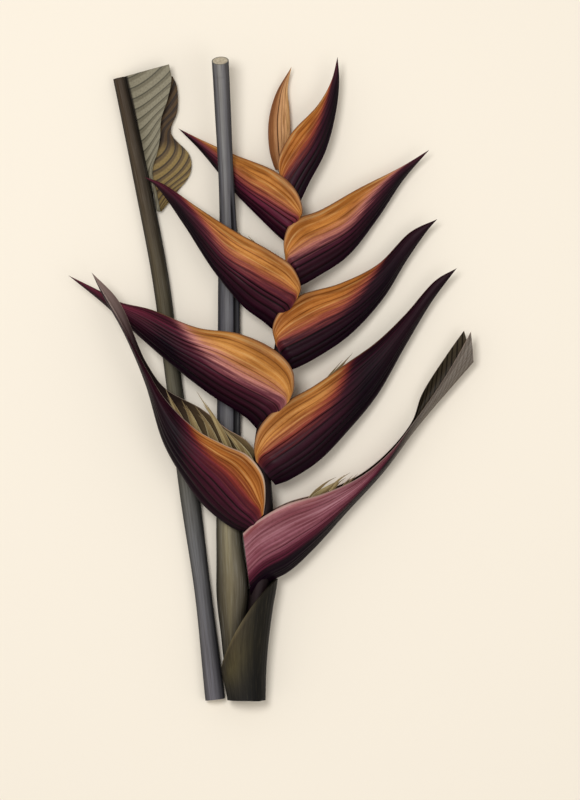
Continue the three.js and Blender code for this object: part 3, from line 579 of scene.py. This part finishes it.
# Fresh bract skin: waxy and ribbed. Its colour runs from a near-black purple keel, partly painted shade,
# through wine and mauve to orange ochre by the margin; towards the tip the orange gives out. Its sheen is
# faint.
def bract_skin(name, body, tip, tip_from, pale_from, inside, rim, streak_and_highlight):
    material, tree, shader, grain, grain_parts, rib_parts = plant_skin(name, 0.42, 0.09)
    across, length, within = grain_parts
    groove, crest, which = rib_parts
    tone = add(tree, "ShaderNodeAttribute", attribute_name="tone").outputs["Fac"]
    streak = fibres(tree, grain, *CHEEK_SIZE, 1.3, 34)
    fine = fibres(tree, grain, *CHEEK_SIZE, 0.4, 11, 5.0)
    mottle = add(tree, "ShaderNodeTexNoise", {"Scale": 90.0, "Detail": 4.0}).outputs["Fac"]
    shift = level(tree, streak, 0.3, 0.7, -0.045, 0.045)
    place = add(tree, "ShaderNodeMath", {0: tone, 1: shift}, operation="ADD").outputs[0]
    late = {0: length, 1: level(tree, streak, 0.3, 0.7, -0.05, 0.05)}
    late = add(tree, "ShaderNodeMath", late, operation="ADD").outputs[0]
    past = level(tree, late, tip_from - 0.1, tip_from + 0.17)
    colour = mix(tree, past, ramp(tree, place, body, 1.12), ramp(tree, across, tip, 1.1))
    colour = shade(tree, level(tree, which, 0.0, 1.0, 0.0, 0.25), colour, "#b8988c")
    colour = shade(tree, level(tree, fine, 0.4, 0.7, 0.0, 0.4), colour, "#b48a74")
    colour = shade(tree, level(tree, mottle, 0.45, 0.7, 0.0, 0.25), colour, "#c09c8c")
    lighter = mix(tree, 1.0, colour, colour, "SCREEN")
    colour = mix(tree, level(tree, streak, 0.5, 0.75, 0.0, 0.2), colour, lighter)
    # Painted highlight along the rib crests, stronger where the skin is dark.
    crest_highlight = {0: level(tree, crest, 0.55, 1.0), 1: level(tree, tone, 0.4, 0.55, 0.4, 0.2)}
    crest_highlight = add(tree, "ShaderNodeMath", crest_highlight, operation="MULTIPLY").outputs[0]
    colour = mix(tree, crest_highlight, colour, mix(tree, 1.0, colour, colour, "SCREEN"))
    # Paler grey-pink over the margin half of the skin, from pale_from towards the tip.
    pale_tip_patch = {0: level(tree, length, pale_from, pale_from + 0.14), 1: level(tree, across, 0.42, 0.56)}
    pale_tip_patch = add(tree, "ShaderNodeMath", pale_tip_patch, operation="MULTIPLY").outputs[0]
    colour = mix(tree, pale_tip_patch, colour, srgb("#a8968f"))
    ripe = level(tree, tone, 0.5, 0.66)
    broad = fibres(tree, grain, *CHEEK_SIZE, 7, 45, 2.0)
    dulled = {0: level(tree, broad, 0.38, 0.66, 0.0, 0.8), 1: ripe}
    dulled = add(tree, "ShaderNodeMath", dulled, operation="MULTIPLY").outputs[0]
    colour = shade(tree, dulled, colour, streak_and_highlight[0])
    # Painted highlight: a pale straw tint on the rib crests of the orange part, along the light streaks.
    straw_highlight = {0: level(tree, streak, 0.42, 0.66, 0.0, 0.42), 1: ripe}
    straw_highlight = add(tree, "ShaderNodeMath", straw_highlight, operation="MULTIPLY").outputs[0]
    straw_highlight = {0: straw_highlight, 1: level(tree, crest, 0.3, 1.0)}
    straw_highlight = add(tree, "ShaderNodeMath", straw_highlight, operation="MULTIPLY").outputs[0]
    colour = mix(tree, straw_highlight, colour, srgb(streak_and_highlight[1]))
    # Painted shade in the rib grooves, stronger in the dark part of the skin, where a second, purpler shade
    # deepens it.
    dark = level(tree, tone, 0.42, 0.6, 0.95, 0.62)
    groove_shade = {0: level(tree, groove, 0.05, 0.9), 1: dark}
    groove_shade = add(tree, "ShaderNodeMath", groove_shade, operation="MULTIPLY").outputs[0]
    colour = shade(tree, groove_shade, colour, "#643628")
    deeper_groove_shade = {0: groove_shade, 1: level(tree, tone, 0.5, 0.38)}
    deeper_groove_shade = add(tree, "ShaderNodeMath", deeper_groove_shade, operation="MULTIPLY").outputs[0]
    colour = shade(tree, deeper_groove_shade, colour, "#503040")
    edge = level(tree, across, 0.97, 0.997, 0.0, 0.7)
    colour = mix(tree, edge, colour, srgb(rim))
    lining = shade(tree, fine, ramp(tree, length, inside), "#907868")
    if inside is LEAFY_INSIDE:
        slide = add(tree, "ShaderNodeMath", {0: across, 1: -11.0}, operation="MULTIPLY").outputs[0]
        turn = {0: length, 1: 230.0, 2: slide}
        turn = add(tree, "ShaderNodeMath", turn, operation="MULTIPLY_ADD").outputs[0]
        vein = add(tree, "ShaderNodeMath", {0: turn}, operation="SINE").outputs[0]
        lining = shade(tree, level(tree, vein, 0.2, 0.95, 0.0, 0.9), lining, "#5c4c40")
        leafy = {0: level(tree, vein, 0.2, 0.9, 0.0, 0.4), 1: past}
        leafy = add(tree, "ShaderNodeMath", leafy, operation="MULTIPLY").outputs[0]
        colour = shade(tree, leafy, colour, "#94887c")
    colour = mix(tree, level(tree, within, 0.6, 0.9), colour, lining)
    finish_surface(tree, shader, colour, fine, 0.3, 0.25)
    return material


# The pigments that every bract's skin is made of; NIGHT, the keel's purple black, is partly painted shade.
NIGHT = "#0e010c"  # purple black, along the keel
WINE = "#642236"
RUST = "#7c3024"  # the seam, where little mauve shows in it
MAUVE = "#b87c74"
AMBER = "#b06c2c"
OCHRE = "#c88c48"
YOUNG_OCHRE = "#c89a6c"
BARK = "#94623a"  # the browned margin
ROSE = "#94626c"
GREY_LEAF = "#746e66"


def between(a, b, share):
    """The sRGB hex value that lies this share of the way from one to another."""
    parts = [int(a[i:i + 2], 16) * (1 - share) + int(b[i:i + 2], 16) * share for i in (1, 3, 5)]
    return "#" + "".join(f"{round(part):02x}" for part in parts)


def body_stops(wine, blush, gold):
    """Colours from keel, 0, to margin, 1: wine by the keel, then the seam's blush, then orange or gold."""
    dark = between(NIGHT, WINE, wine)
    seam = between(RUST, MAUVE, blush)
    flesh = between(AMBER, OCHRE, gold)
    return [(0, NIGHT), (0.22, between(NIGHT, dark, 0.6)), (0.36, dark), (0.44, between(dark, seam, 0.4)),
            (0.52, seam), (0.61, between(seam, flesh, 0.6)), (0.72, flesh), (0.9, flesh), (1, BARK)]


def tip_stops(wine):
    return [(0, NIGHT), (0.4, between(NIGHT, WINE, wine / 2)), (0.85, between(NIGHT, WINE, wine)), (1, NIGHT)]


# wine, blush and gold of each bract's body, and wine of its tip
HUES = {
    "bract_2": (0.7, 0.0, 0.1, 0.5), "bract_3": (0.4, 0.1, 0.7, 0.3), "bract_4": (0.6, 1.0, 0.8, 1.0),
    "bract_5": (0.25, 0.25, 0.2, 0.3), "bract_6": (0.6, 0.3, 0.7, 0.9), "bract_7": (0.5, 0.8, 0.4, 0.8),
    "bract_8": (0.85, 0.3, 0.5, 1.0), "bract_9": (0.4, 0.1, 0.0, 0.9),
}
BODIES = {
    "bract_1": [(0, NIGHT), (0.28, NIGHT), (0.46, between(NIGHT, WINE, 0.8)),
                (0.62, between(WINE, ROSE, 0.7)), (0.9, ROSE), (1, between(ROSE, MAUVE, 0.5))],
    "bract_10": [(0, between(NIGHT, BARK, 0.7)), (0.14, BARK), (0.6, YOUNG_OCHRE), (1, YOUNG_OCHRE)],
    **{name: body_stops(*hues[:3]) for name, hues in HUES.items()},
}
TIPS = {
    "bract_1": [(0, GREY_LEAF), (1, GREY_LEAF)],
    "bract_10": [(0, BARK), (1, between(BARK, YOUNG_OCHRE, 0.5))],
    **{name: tip_stops(hues[3]) for name, hues in HUES.items()},
}
# The inside of a bract: olive by the foot and pale by the tip; its dark middle is painted shade deep in the
# cup.
INSIDE = [(0, "#9c8c68"), (0.25, "#8a7856"), (0.5, "#3c302c"), (0.75, "#4c3a3c"), (1, "#a8948e")]
LEAFY_INSIDE = [(0, "#8a7a5c"), (0.4, "#5c5040"), (0.65, "#443c30"), (1, "#524a3a")]
RIMS = {"bract_1": "#a88e84", "bract_2": "#b8a494", "bract_10": "#8a5c3c"}
# The second colour of each pair is that of the painted highlight on the rib crests.
STREAK_AND_HIGHLIGHT = {"bract_1": ("#c09098", "#b48c94")}  # the dull and the light streaks near the margin


# A leaf stalk: smooth waxy skin over long fibres, with a bloom that greys it; painted light and shade round
# it: a highlight stripe and darker sides.
def stalk_skin(name, stops, painted_round_light, length_mm, light):
    material, tree, shader, grain, (across, length, _), (groove, _, _) = plant_skin(name, 0.6, 0.18)
    streak = fibres(tree, grain, 14, length_mm, 1.2, 60)
    fine = fibres(tree, grain, 14, length_mm, 0.4, 18, 5.0)
    # The second ramp runs across the stalk and is painted light and shade: a highlight stripe and darker
    # sides.
    colour = mix(tree, 1.0, ramp(tree, length, stops), ramp(tree, across, painted_round_light), "MULTIPLY")
    colour = shade(tree, level(tree, streak, 0.38, 0.7, 0.0, 0.5), colour, "#a89c90")
    colour = mix(tree, level(tree, fine, 0.5, 0.8, 0.0, 0.25), colour, srgb(light))
    colour = shade(tree, level(tree, fine, 0.5, 0.25, 0.0, 0.5), colour, "#a8a094")
    # Painted shade in the sunken grooves of the skin, which shows along the cut stalk's channel.
    colour = shade(tree, level(tree, groove, 0.15, 0.8, 0.0, 0.95), colour, "#4c4448")
    finish_surface(tree, shader, colour, fine, 0.25, 0.2)
    return material


# A cut through a stalk: cream pith with fine pores, inside a grey-green rind.
def cut_face():
    name = "cut_pith"
    if name in bpy.data.materials:
        return bpy.data.materials[name]
    material, tree, shader, _, (across, _, height), _ = plant_skin(name, 0.7)
    disc = add(tree, "ShaderNodeCombineXYZ", {0: across, 1: height}).outputs[0]
    out = {0: disc, 1: (0.5, 0.5, 0)}
    out = add(tree, "ShaderNodeVectorMath", out, operation="DISTANCE").outputs["Value"]
    pores = add(tree, "ShaderNodeTexVoronoi", {"Vector": disc, "Scale": 15.0}).outputs["Distance"]
    mottle = add(tree, "ShaderNodeTexNoise", {"Vector": disc, "Scale": 7.0, "Detail": 4.0}).outputs["Fac"]
    colour = mix(tree, level(tree, mottle, 0.35, 0.65), srgb("#c8beaa"), srgb("#aca08a"))
    colour = shade(tree, level(tree, pores, 0.22, 0.05, 0.0, 0.8), colour, "#7a6a54")
    colour = mix(tree, level(tree, out, 0.4, 0.48), colour, srgb("#5c5c56"))
    finish_surface(tree, shader, colour, pores, 0.4, 0.2)
    return material


def dress(piece, material, slot, *nodes):
    """Puts a material on a piece that stands for these CAD nodes and lies still with them."""
    piece.data.materials.append(material)
    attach(piece, "root")
    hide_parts(*nodes)


# ---- the pieces ----

def make_bracts():
    slots = {"bract_1": "lowest_bract_skin", "bract_10": "top_bract_skin"}
    for seed, bract in enumerate(BRACTS):
        name = bract["name"]
        piece = bract_piece(bract, seed + 11)
        material = bract_skin(
            "waxy_" + name + "_skin", BODIES[name], TIPS[name],
            bract.get("tip_from", bract["orange_to"]), bract.get("pale_from", NEVER),
            LEAFY_INSIDE if name == "bract_1" else INSIDE,
            RIMS.get(name, "#6e452c"), STREAK_AND_HIGHLIGHT.get(name, ("#b8a888", "#d4b078")),
        )
        dress(piece, material, slots.get(name, "bract_skin"), name)


def make_rachis():
    piece = stalk_piece("rachis_skin", RACHIS_PATH, RACHIS_RADII, RACHIS_RADII, (0, 0), 160, 48,
                        ridged(11, 0.12, np.random.default_rng(3)))
    # Near black along its length: partly the rachis's own colour, partly painted shade where it shows between
    # the bracts. The second ramp is painted light and shade across it.
    material = stalk_skin("waxy_rachis_skin", [(0, "#2a241c"), (0.22, "#241418"), (1, "#2c141a")],
                          [(0, "#808080"), (0.4, "#ffffff"), (1, "#606060")], 320, "#3a2028")
    dress(piece, material, "rachis_skin", "rachis")
    cut_ends(piece, 48)


def make_cut_stalk():
    fine = ridged(17, 0.08, np.random.default_rng(5))

    def relief(t, angle):
        channel = np.exp(-((angle - math.radians(50)) / math.radians(13)) ** 4)
        reach = ease((t - 0.27) / 0.04) * (1 - ease((t - 0.74) / 0.08))
        return fine(t, angle) - 1.5 * channel * reach

    piece = stalk_piece("cut_stalk_skin", CUT_STALK_PATH, CUT_STALK_WIDTHS, CUT_STALK_HEIGHTS,
                        CUT_STALK_LEANS, 260, 72, relief, CUT_SLOPE)
    stops = [(0, "#443e32"), (0.09, "#5c5440"), (0.17, "#7e745c"), (0.27, "#a0967a"), (0.33, "#828080"),
             (0.5, "#787880"), (0.8, "#858488"), (1, "#969494")]
    # The second ramp is painted light and shade across the stalk: a highlight stripe and darker sides.
    material = stalk_skin("waxy_grey_stalk_skin", stops,
                          [(0, "#60606a"), (0.2, "#b4b4b8"), (0.42, "#ecece8"), (0.66, "#bcbcc0"),
                           (1, "#58585e")], 400, "#a4a4a2")
    dress(piece, material, "grey_stalk", "cut_stalk")
    cut_ends(piece, 72)


def make_leaf_stalk():
    piece = stalk_piece("leaf_stalk_skin", LEAF_STALK_PATH, LEAF_STALK_WIDTHS, LEAF_STALK_HEIGHTS, (0, 0),
                        260, 60, ridged(15, 0.08, np.random.default_rng(7)))
    stops = [(0, "#727078"), (0.25, "#6c6c6e"), (0.45, "#6a6656"), (0.62, "#605844"), (0.8, "#504434"),
             (1, "#483a2c")]
    # The second ramp is painted light and shade across the stalk: a highlight stripe and a darker side.
    material = stalk_skin("waxy_brown_stalk_skin", stops,
                          [(0, "#888888"), (0.25, "#f8f8f8"), (0.5, "#e0e0e0"), (0.8, "#a0a0a0"),
                           (1, "#484848")], 395, "#908c84")
    dress(piece, material, "brown_stalk", "leaf_stalk")
    cut_ends(piece, 60)


def make_sheath():
    bottom, top = SHEATH_LENGTH
    rows, sides = 40, 96
    angle = (2 * math.pi * np.arange(sides) / sides)[None]
    slant = (1 + np.cos(angle)) / 2 + 0.09 * np.sin(angle) ** 2
    slant = np.minimum(1, slant * (1 + 0.45 * np.maximum(0, -np.sin(angle))))
    reach = SHEATH_MARGIN_LOW + (top - SHEATH_MARGIN_LOW) * slant

    def skin(v, inset):
        y = bottom + (reach - bottom) * v
        t = (y - bottom) / (top - bottom)
        left, right, height = (along(values, t) for values in (SHEATH_LEFT, SHEATH_RIGHT, SHEATH_TOPS))
        ridge = 0.12 * np.sin(31 * angle) + 0.08 * np.sin(53 * angle + 3 * v)
        x = (left + right) / 2 + ((right - left) / 2 - inset + ridge) * np.cos(angle)
        z = height / 2 + (height / 2 - inset + ridge) * np.sin(angle)
        return np.stack([x, y, z], -1)

    v = (np.arange(rows + 1) / rows)[:, None]
    outside, inside = skin(v, 0.15), skin(v, SHEATH_WALL)
    rings = np.concatenate([outside, inside[::-1]])
    across = np.cos(angle) / 2 + 0.5
    grain = np.stack([across + 0 * v, v + 0 * across, 0 * v + 0 * across], -1)
    lining = grain[::-1].copy()
    lining[..., 2] = 1
    marks = {"grain": np.concatenate([grain, lining])}
    piece = piece_from_rings("stem_sheath_skin", rings, marks, loop=True)
    stops = [(0, "#1c1a18"), (0.2, "#302c24"), (0.55, "#50482f"), (0.9, "#463d2a"), (1, "#685c40")]
    # The second ramp is painted light and shade across the sheath: a highlight left of the middle, dark on
    # the right.
    material = stalk_skin("dry_sheath_skin", stops,
                          [(0, "#909090"), (0.3, "#ffffff"), (0.5, "#c8c8c8"), (0.72, "#606060"),
                           (1, "#303030")], 75, "#5a5240")
    dress(piece, material, "dark_sheath", "stem_sheath")


def make_blade():
    rows, steps = 120, 30
    t = (np.arange(rows + 1) / rows)[:, None]
    fold, near, far = route(BLADE_FOLD), route(BLADE_NEAR), route(BLADE_FAR)
    share = np.linspace(0, 1, steps + 1)[None]

    def half(edge, side):
        start, end = fold(t[:, 0])[:, None], edge(t[:, 0])[:, None]
        spots = start * (1 - share[..., None]) + end * share[..., None]
        vein = np.sin(2 * math.pi * VEINS * (t - (0.13 if side > 0 else 0.3) * share ** 1.7))
        spots[..., 2] += 0.25 * vein * ease(share * 4) + side * 1.2 * np.sin(math.pi * share)
        return spots

    upper, lower = half(near, 1), half(far, -0.4)
    thick = np.array([0, 0, BLADE_WALL / 2])
    pinch = 1 - 0.6 * share[..., None]
    rings = np.concatenate([
        (upper + thick * pinch)[:, ::-1], (lower - thick * pinch)[:, 1:],
        (lower + thick * pinch)[:, :0:-1], (lower + thick)[:, :1] + np.array([0.9, 0, 0]),
        (upper - thick * pinch)[:, 1:],
    ], axis=1)
    ones = np.ones_like(t)
    # The faces of the blade in turn: outside of the near and far halves, inside of the far and near.
    across = [share[:, ::-1], share[:, 1:], share[:, :0:-1], share[:, :1], share[:, 1:]]
    face = [np.full_like(part, mark) for part, mark in zip(across, (0, 0.33, 0.66, 0.66, 1))]
    across, face = (ones * np.concatenate(parts, axis=1) for parts in (across, face))
    marks = {"grain": np.stack([across, t * np.ones_like(across), face], -1)}
    piece = piece_from_rings("leaf_blade_skin", rings, marks)
    dress(piece, leaf_skin(), "leaf_green", "leaf_blade")


# A leaf blade: thin and matt, veined; grey-green underneath, olive on its upper side.
def leaf_skin():
    material, tree, shader, grain, (across, length, face), _ = plant_skin("veined_leaf_skin", 0.6)
    curl = add(tree, "ShaderNodeMath", {0: across, 1: 1.7}, operation="POWER").outputs[0]
    bend = level(tree, face, 0.15, 0.25, -0.13, -0.3)
    slide = add(tree, "ShaderNodeMath", {0: curl, 1: bend, 2: length}, operation="MULTIPLY_ADD").outputs[0]
    wave = add(tree, "ShaderNodeMath", {0: slide, 1: 2 * math.pi * VEINS}, operation="MULTIPLY").outputs[0]
    vein = add(tree, "ShaderNodeMath", {0: wave}, operation="SINE").outputs[0]
    fine = fibres(tree, grain, 30, 90, 1.2, 1.2, 5.0)
    beside = add(tree, "ShaderNodeMath", {0: wave, 1: 1.1}, operation="ADD").outputs[0]
    vein_side_shade = add(tree, "ShaderNodeMath", {0: beside}, operation="SINE").outputs[0]
    # Painted shade along one side of each vein, on both faces; the vein line itself is darker.
    under = mix(tree, level(tree, vein_side_shade, 0.3, -0.9, 0.0, 0.8), srgb("#88826e"), srgb("#6a6452"))
    under = mix(tree, level(tree, vein, -0.99, -0.84, 0.75, 0.0), under, srgb("#38362a"))
    upper = mix(tree, level(tree, vein_side_shade, 0.6, -0.8, 0.0, 0.9), srgb("#8a7444"), srgb("#5a4628"))
    upper = mix(tree, level(tree, vein, -0.99, -0.7, 0.85, 0.0), upper, srgb("#2c2014"))
    # Painted shade: the upper side darkens past the middle of its length, and the inside of the near half,
    # within the fold, is dark.
    shaded = mix(tree, level(tree, length, 0.42, 0.56), upper, shade(tree, 0.9, upper, "#80685c"))
    colour = mix(tree, level(tree, face, 0.4, 0.5), under, shaded)
    colour = mix(tree, level(tree, face, 0.8, 0.9), colour, srgb("#4a4434"))
    colour = mix(tree, level(tree, fine, 0.4, 0.7, 0.0, 0.35), colour, shade(tree, 1.0, colour, "#a09080"))
    colour = shade(tree, level(tree, across, 0.07, 0.02), colour, "#54483a")
    finish_surface(tree, shader, colour, fine, 0.3, 0.2)
    return material


def tepal_rings(path, width, start, lean, rng, rows=40, steps=12):
    """A long pointed tepal, folded along its middle like a narrow boat; lean bends its tip sideways."""
    t = (start + (1 - start) * np.arange(rows) / rows)[:, None]
    own = (t - start) / (1 - start)
    line = route(path)
    ahead = unit(line(t[:, 0] + 1e-3) - line(t[:, 0] - 1e-3))
    side = unit(np.stack([ahead[:, 1], -ahead[:, 0], 0 * ahead[:, 0]], -1))[:, None]
    narrow = 1 - own ** 2.6
    reach = width * (0.55 + 0.7 * np.sin(math.pi * np.minimum(1, 0.12 + own) ** 0.8)) * narrow
    share = np.linspace(-1, 1, 2 * steps + 1)[None]
    across = reach * share + lean * own ** 2 + 0.25 * np.sin(5 * own + rng.uniform(0, 6))
    crown = 0.75 * reach * (1 - share ** 2) + 0.1 * narrow * np.cos(5 * math.pi * share)
    centre = line(t[:, 0])[:, None]
    rise = np.stack([0 * crown, 0 * crown, crown], -1)
    outer = centre + side * across[..., None] + rise
    drop = np.array([0, 0, 0.25]) * narrow[..., None]
    inner = centre + side * (across * 0.94)[..., None] + rise * 0.55 - drop
    rings = np.concatenate([outer, inner[:, ::-1]], axis=1)
    return rings, own * np.ones_like(share), share * np.ones_like(own)


def make_flowers():
    material = tepal_skin()
    for seed, (name, path, radius) in enumerate(FLOWERS):
        rng = np.random.default_rng(40 + seed)
        tepals = (("outer", 1.2 * radius, 0.0, 0.0, 0.0), ("inner", 0.7 * radius, 0.3, 0.9, 0.7),
                  ("lower", 0.7 * radius, 0.15, -1.2, -0.7))  # name, width, start, lean and lift
        for part, width, start, lean, lift in tepals:
            sway = rng.uniform(-1.4, 1.4, (4, 1)) * np.array([[0.2], [1], [1], [0.3]])
            moved = [(x + dx, y - dx / 2, z + lift * radius / 2) for (x, y, z), (dx,) in zip(path, sway)]
            if part != "outer":
                moved[-1] = tuple(0.62 * np.array(moved[-1]) + 0.38 * np.array(moved[-2]))
            rings, own, share = tepal_rings(moved, width, start, lean, rng)
            vein = 0.5 + 0.5 * np.cos(5 * math.pi * share)
            grain = np.stack([np.abs(share), own, np.full_like(share, 0.5)], -1)
            rib = np.stack([1 - vein, vein, np.full_like(vein, rng.uniform())], -1)
            marks = {key: np.concatenate([mark, mark[:, ::-1]], axis=1)
                     for key, mark in (("grain", grain), ("rib", rib))}
            tip = rings[-1].mean(0, keepdims=True) + (rings[-1] - rings[-2]).mean(0) * 0.8
            label = f"{name}_{part}_tepal"
            piece = piece_from_rings(label, rings, marks, tip=tip, split=rings.shape[1] // 2)
            dress(piece, material, "flower_straw", name)


# A flower's tepals: thin, straw coloured and olive, paler along their edges, with fine veins.
def tepal_skin():
    material, tree, shader, grain, grain_parts, rib_parts = plant_skin("straw_tepal_skin", 0.55)
    across, length, _ = grain_parts
    groove, _, which = rib_parts
    fine = fibres(tree, grain, 6, 45, 0.3, 12, 4.0)
    colour = ramp(tree, length, [(0, "#5c5030"), (0.3, "#8c7a4e"), (0.65, "#b8a676"), (1, "#a08c66")])
    colour = shade(tree, level(tree, which, 0.0, 1.0, 0.0, 0.8), colour, "#a08c70")
    colour = mix(tree, level(tree, fine, 0.4, 0.65, 0.0, 0.5), colour, srgb("#7a6444"))
    colour = shade(tree, level(tree, groove, 0.3, 1.0, 0.0, 0.45), colour, "#806844")
    colour = mix(tree, level(tree, across, 0.72, 0.97, 0.0, 0.75), colour, srgb("#d8caa4"))
    finish_surface(tree, shader, colour, fine, 0.3, 0.15)
    return material


# ---- table, light and camera ----

VIEW_CENTRE = (11, -13.3)  # the middle of the view, on the table
VIEW_HEIGHT = 496  # how much the view takes in from top to bottom
LENS, SENSOR = 200, 36
VIEW_LEVEL = 14  # the height over the table at which the view is VIEW_HEIGHT
TABLE_REACH = 3.0  # metres


def make_stage():
    floor_mesh = bpy.data.meshes.new("table_top")
    corners = [(x * TABLE_REACH, y * TABLE_REACH, 0) for x, y in ((-1, -1), (1, -1), (1, 1), (-1, 1))]
    floor_mesh.from_pydata(corners, [], [(0, 1, 2, 3)])
    floor = bpy.data.objects.new("table_top", floor_mesh)
    bpy.context.scene.collection.objects.link(floor)
    material = bpy.data.materials.new("cream_card")
    material.use_nodes = True
    shader = material.node_tree.nodes["Principled BSDF"]
    shader.inputs["Base Color"].default_value = srgb("#f4ecde")
    shader.inputs["Roughness"].default_value = 0.9
    floor_mesh.materials.append(material)

    scene = bpy.context.scene
    world = bpy.data.worlds.new("studio")
    world.use_nodes = True
    world.node_tree.nodes["Background"].inputs["Color"].default_value = srgb("#fffaf2")
    world.node_tree.nodes["Background"].inputs["Strength"].default_value = 0.5
    scene.world = world
    scene.view_settings.view_transform = "Standard"
    lamps = (("key", (-0.35, 0.3, 1.7), 0.6, 15.0), ("fill", (0.7, -0.3, 1.5), 1.0, 4.0))
    for name, place, size, watts in lamps:
        lamp = bpy.data.lights.new(name, "AREA")
        lamp.shape = "DISK"
        lamp.size = size
        lamp.energy = watts
        lamp_object = bpy.data.objects.new(name, lamp)
        lamp_object.location = place
        aim = -np.array(place) + np.array([0, 0, 0.015])
        turn = math.atan2(aim[1], aim[0])
        lamp_object.rotation_euler = (math.acos(-aim[2] / np.linalg.norm(aim)), 0, turn - math.pi / 2)
        scene.collection.objects.link(lamp_object)

    camera = bpy.data.cameras.new("camera")
    camera.lens = LENS
    camera.sensor_width = SENSOR
    camera.clip_end = 20
    camera_object = bpy.data.objects.new("camera", camera)
    height = VIEW_HEIGHT / SENSOR * LENS + VIEW_LEVEL
    camera_object.location = (VIEW_CENTRE[0] * MM, VIEW_CENTRE[1] * MM, height * MM)
    scene.collection.objects.link(camera_object)
    scene.camera = camera_object


make_stage()
make_bracts()
make_rachis()
make_cut_stalk()
make_leaf_stalk()
make_sheath()
make_blade()
make_flowers()
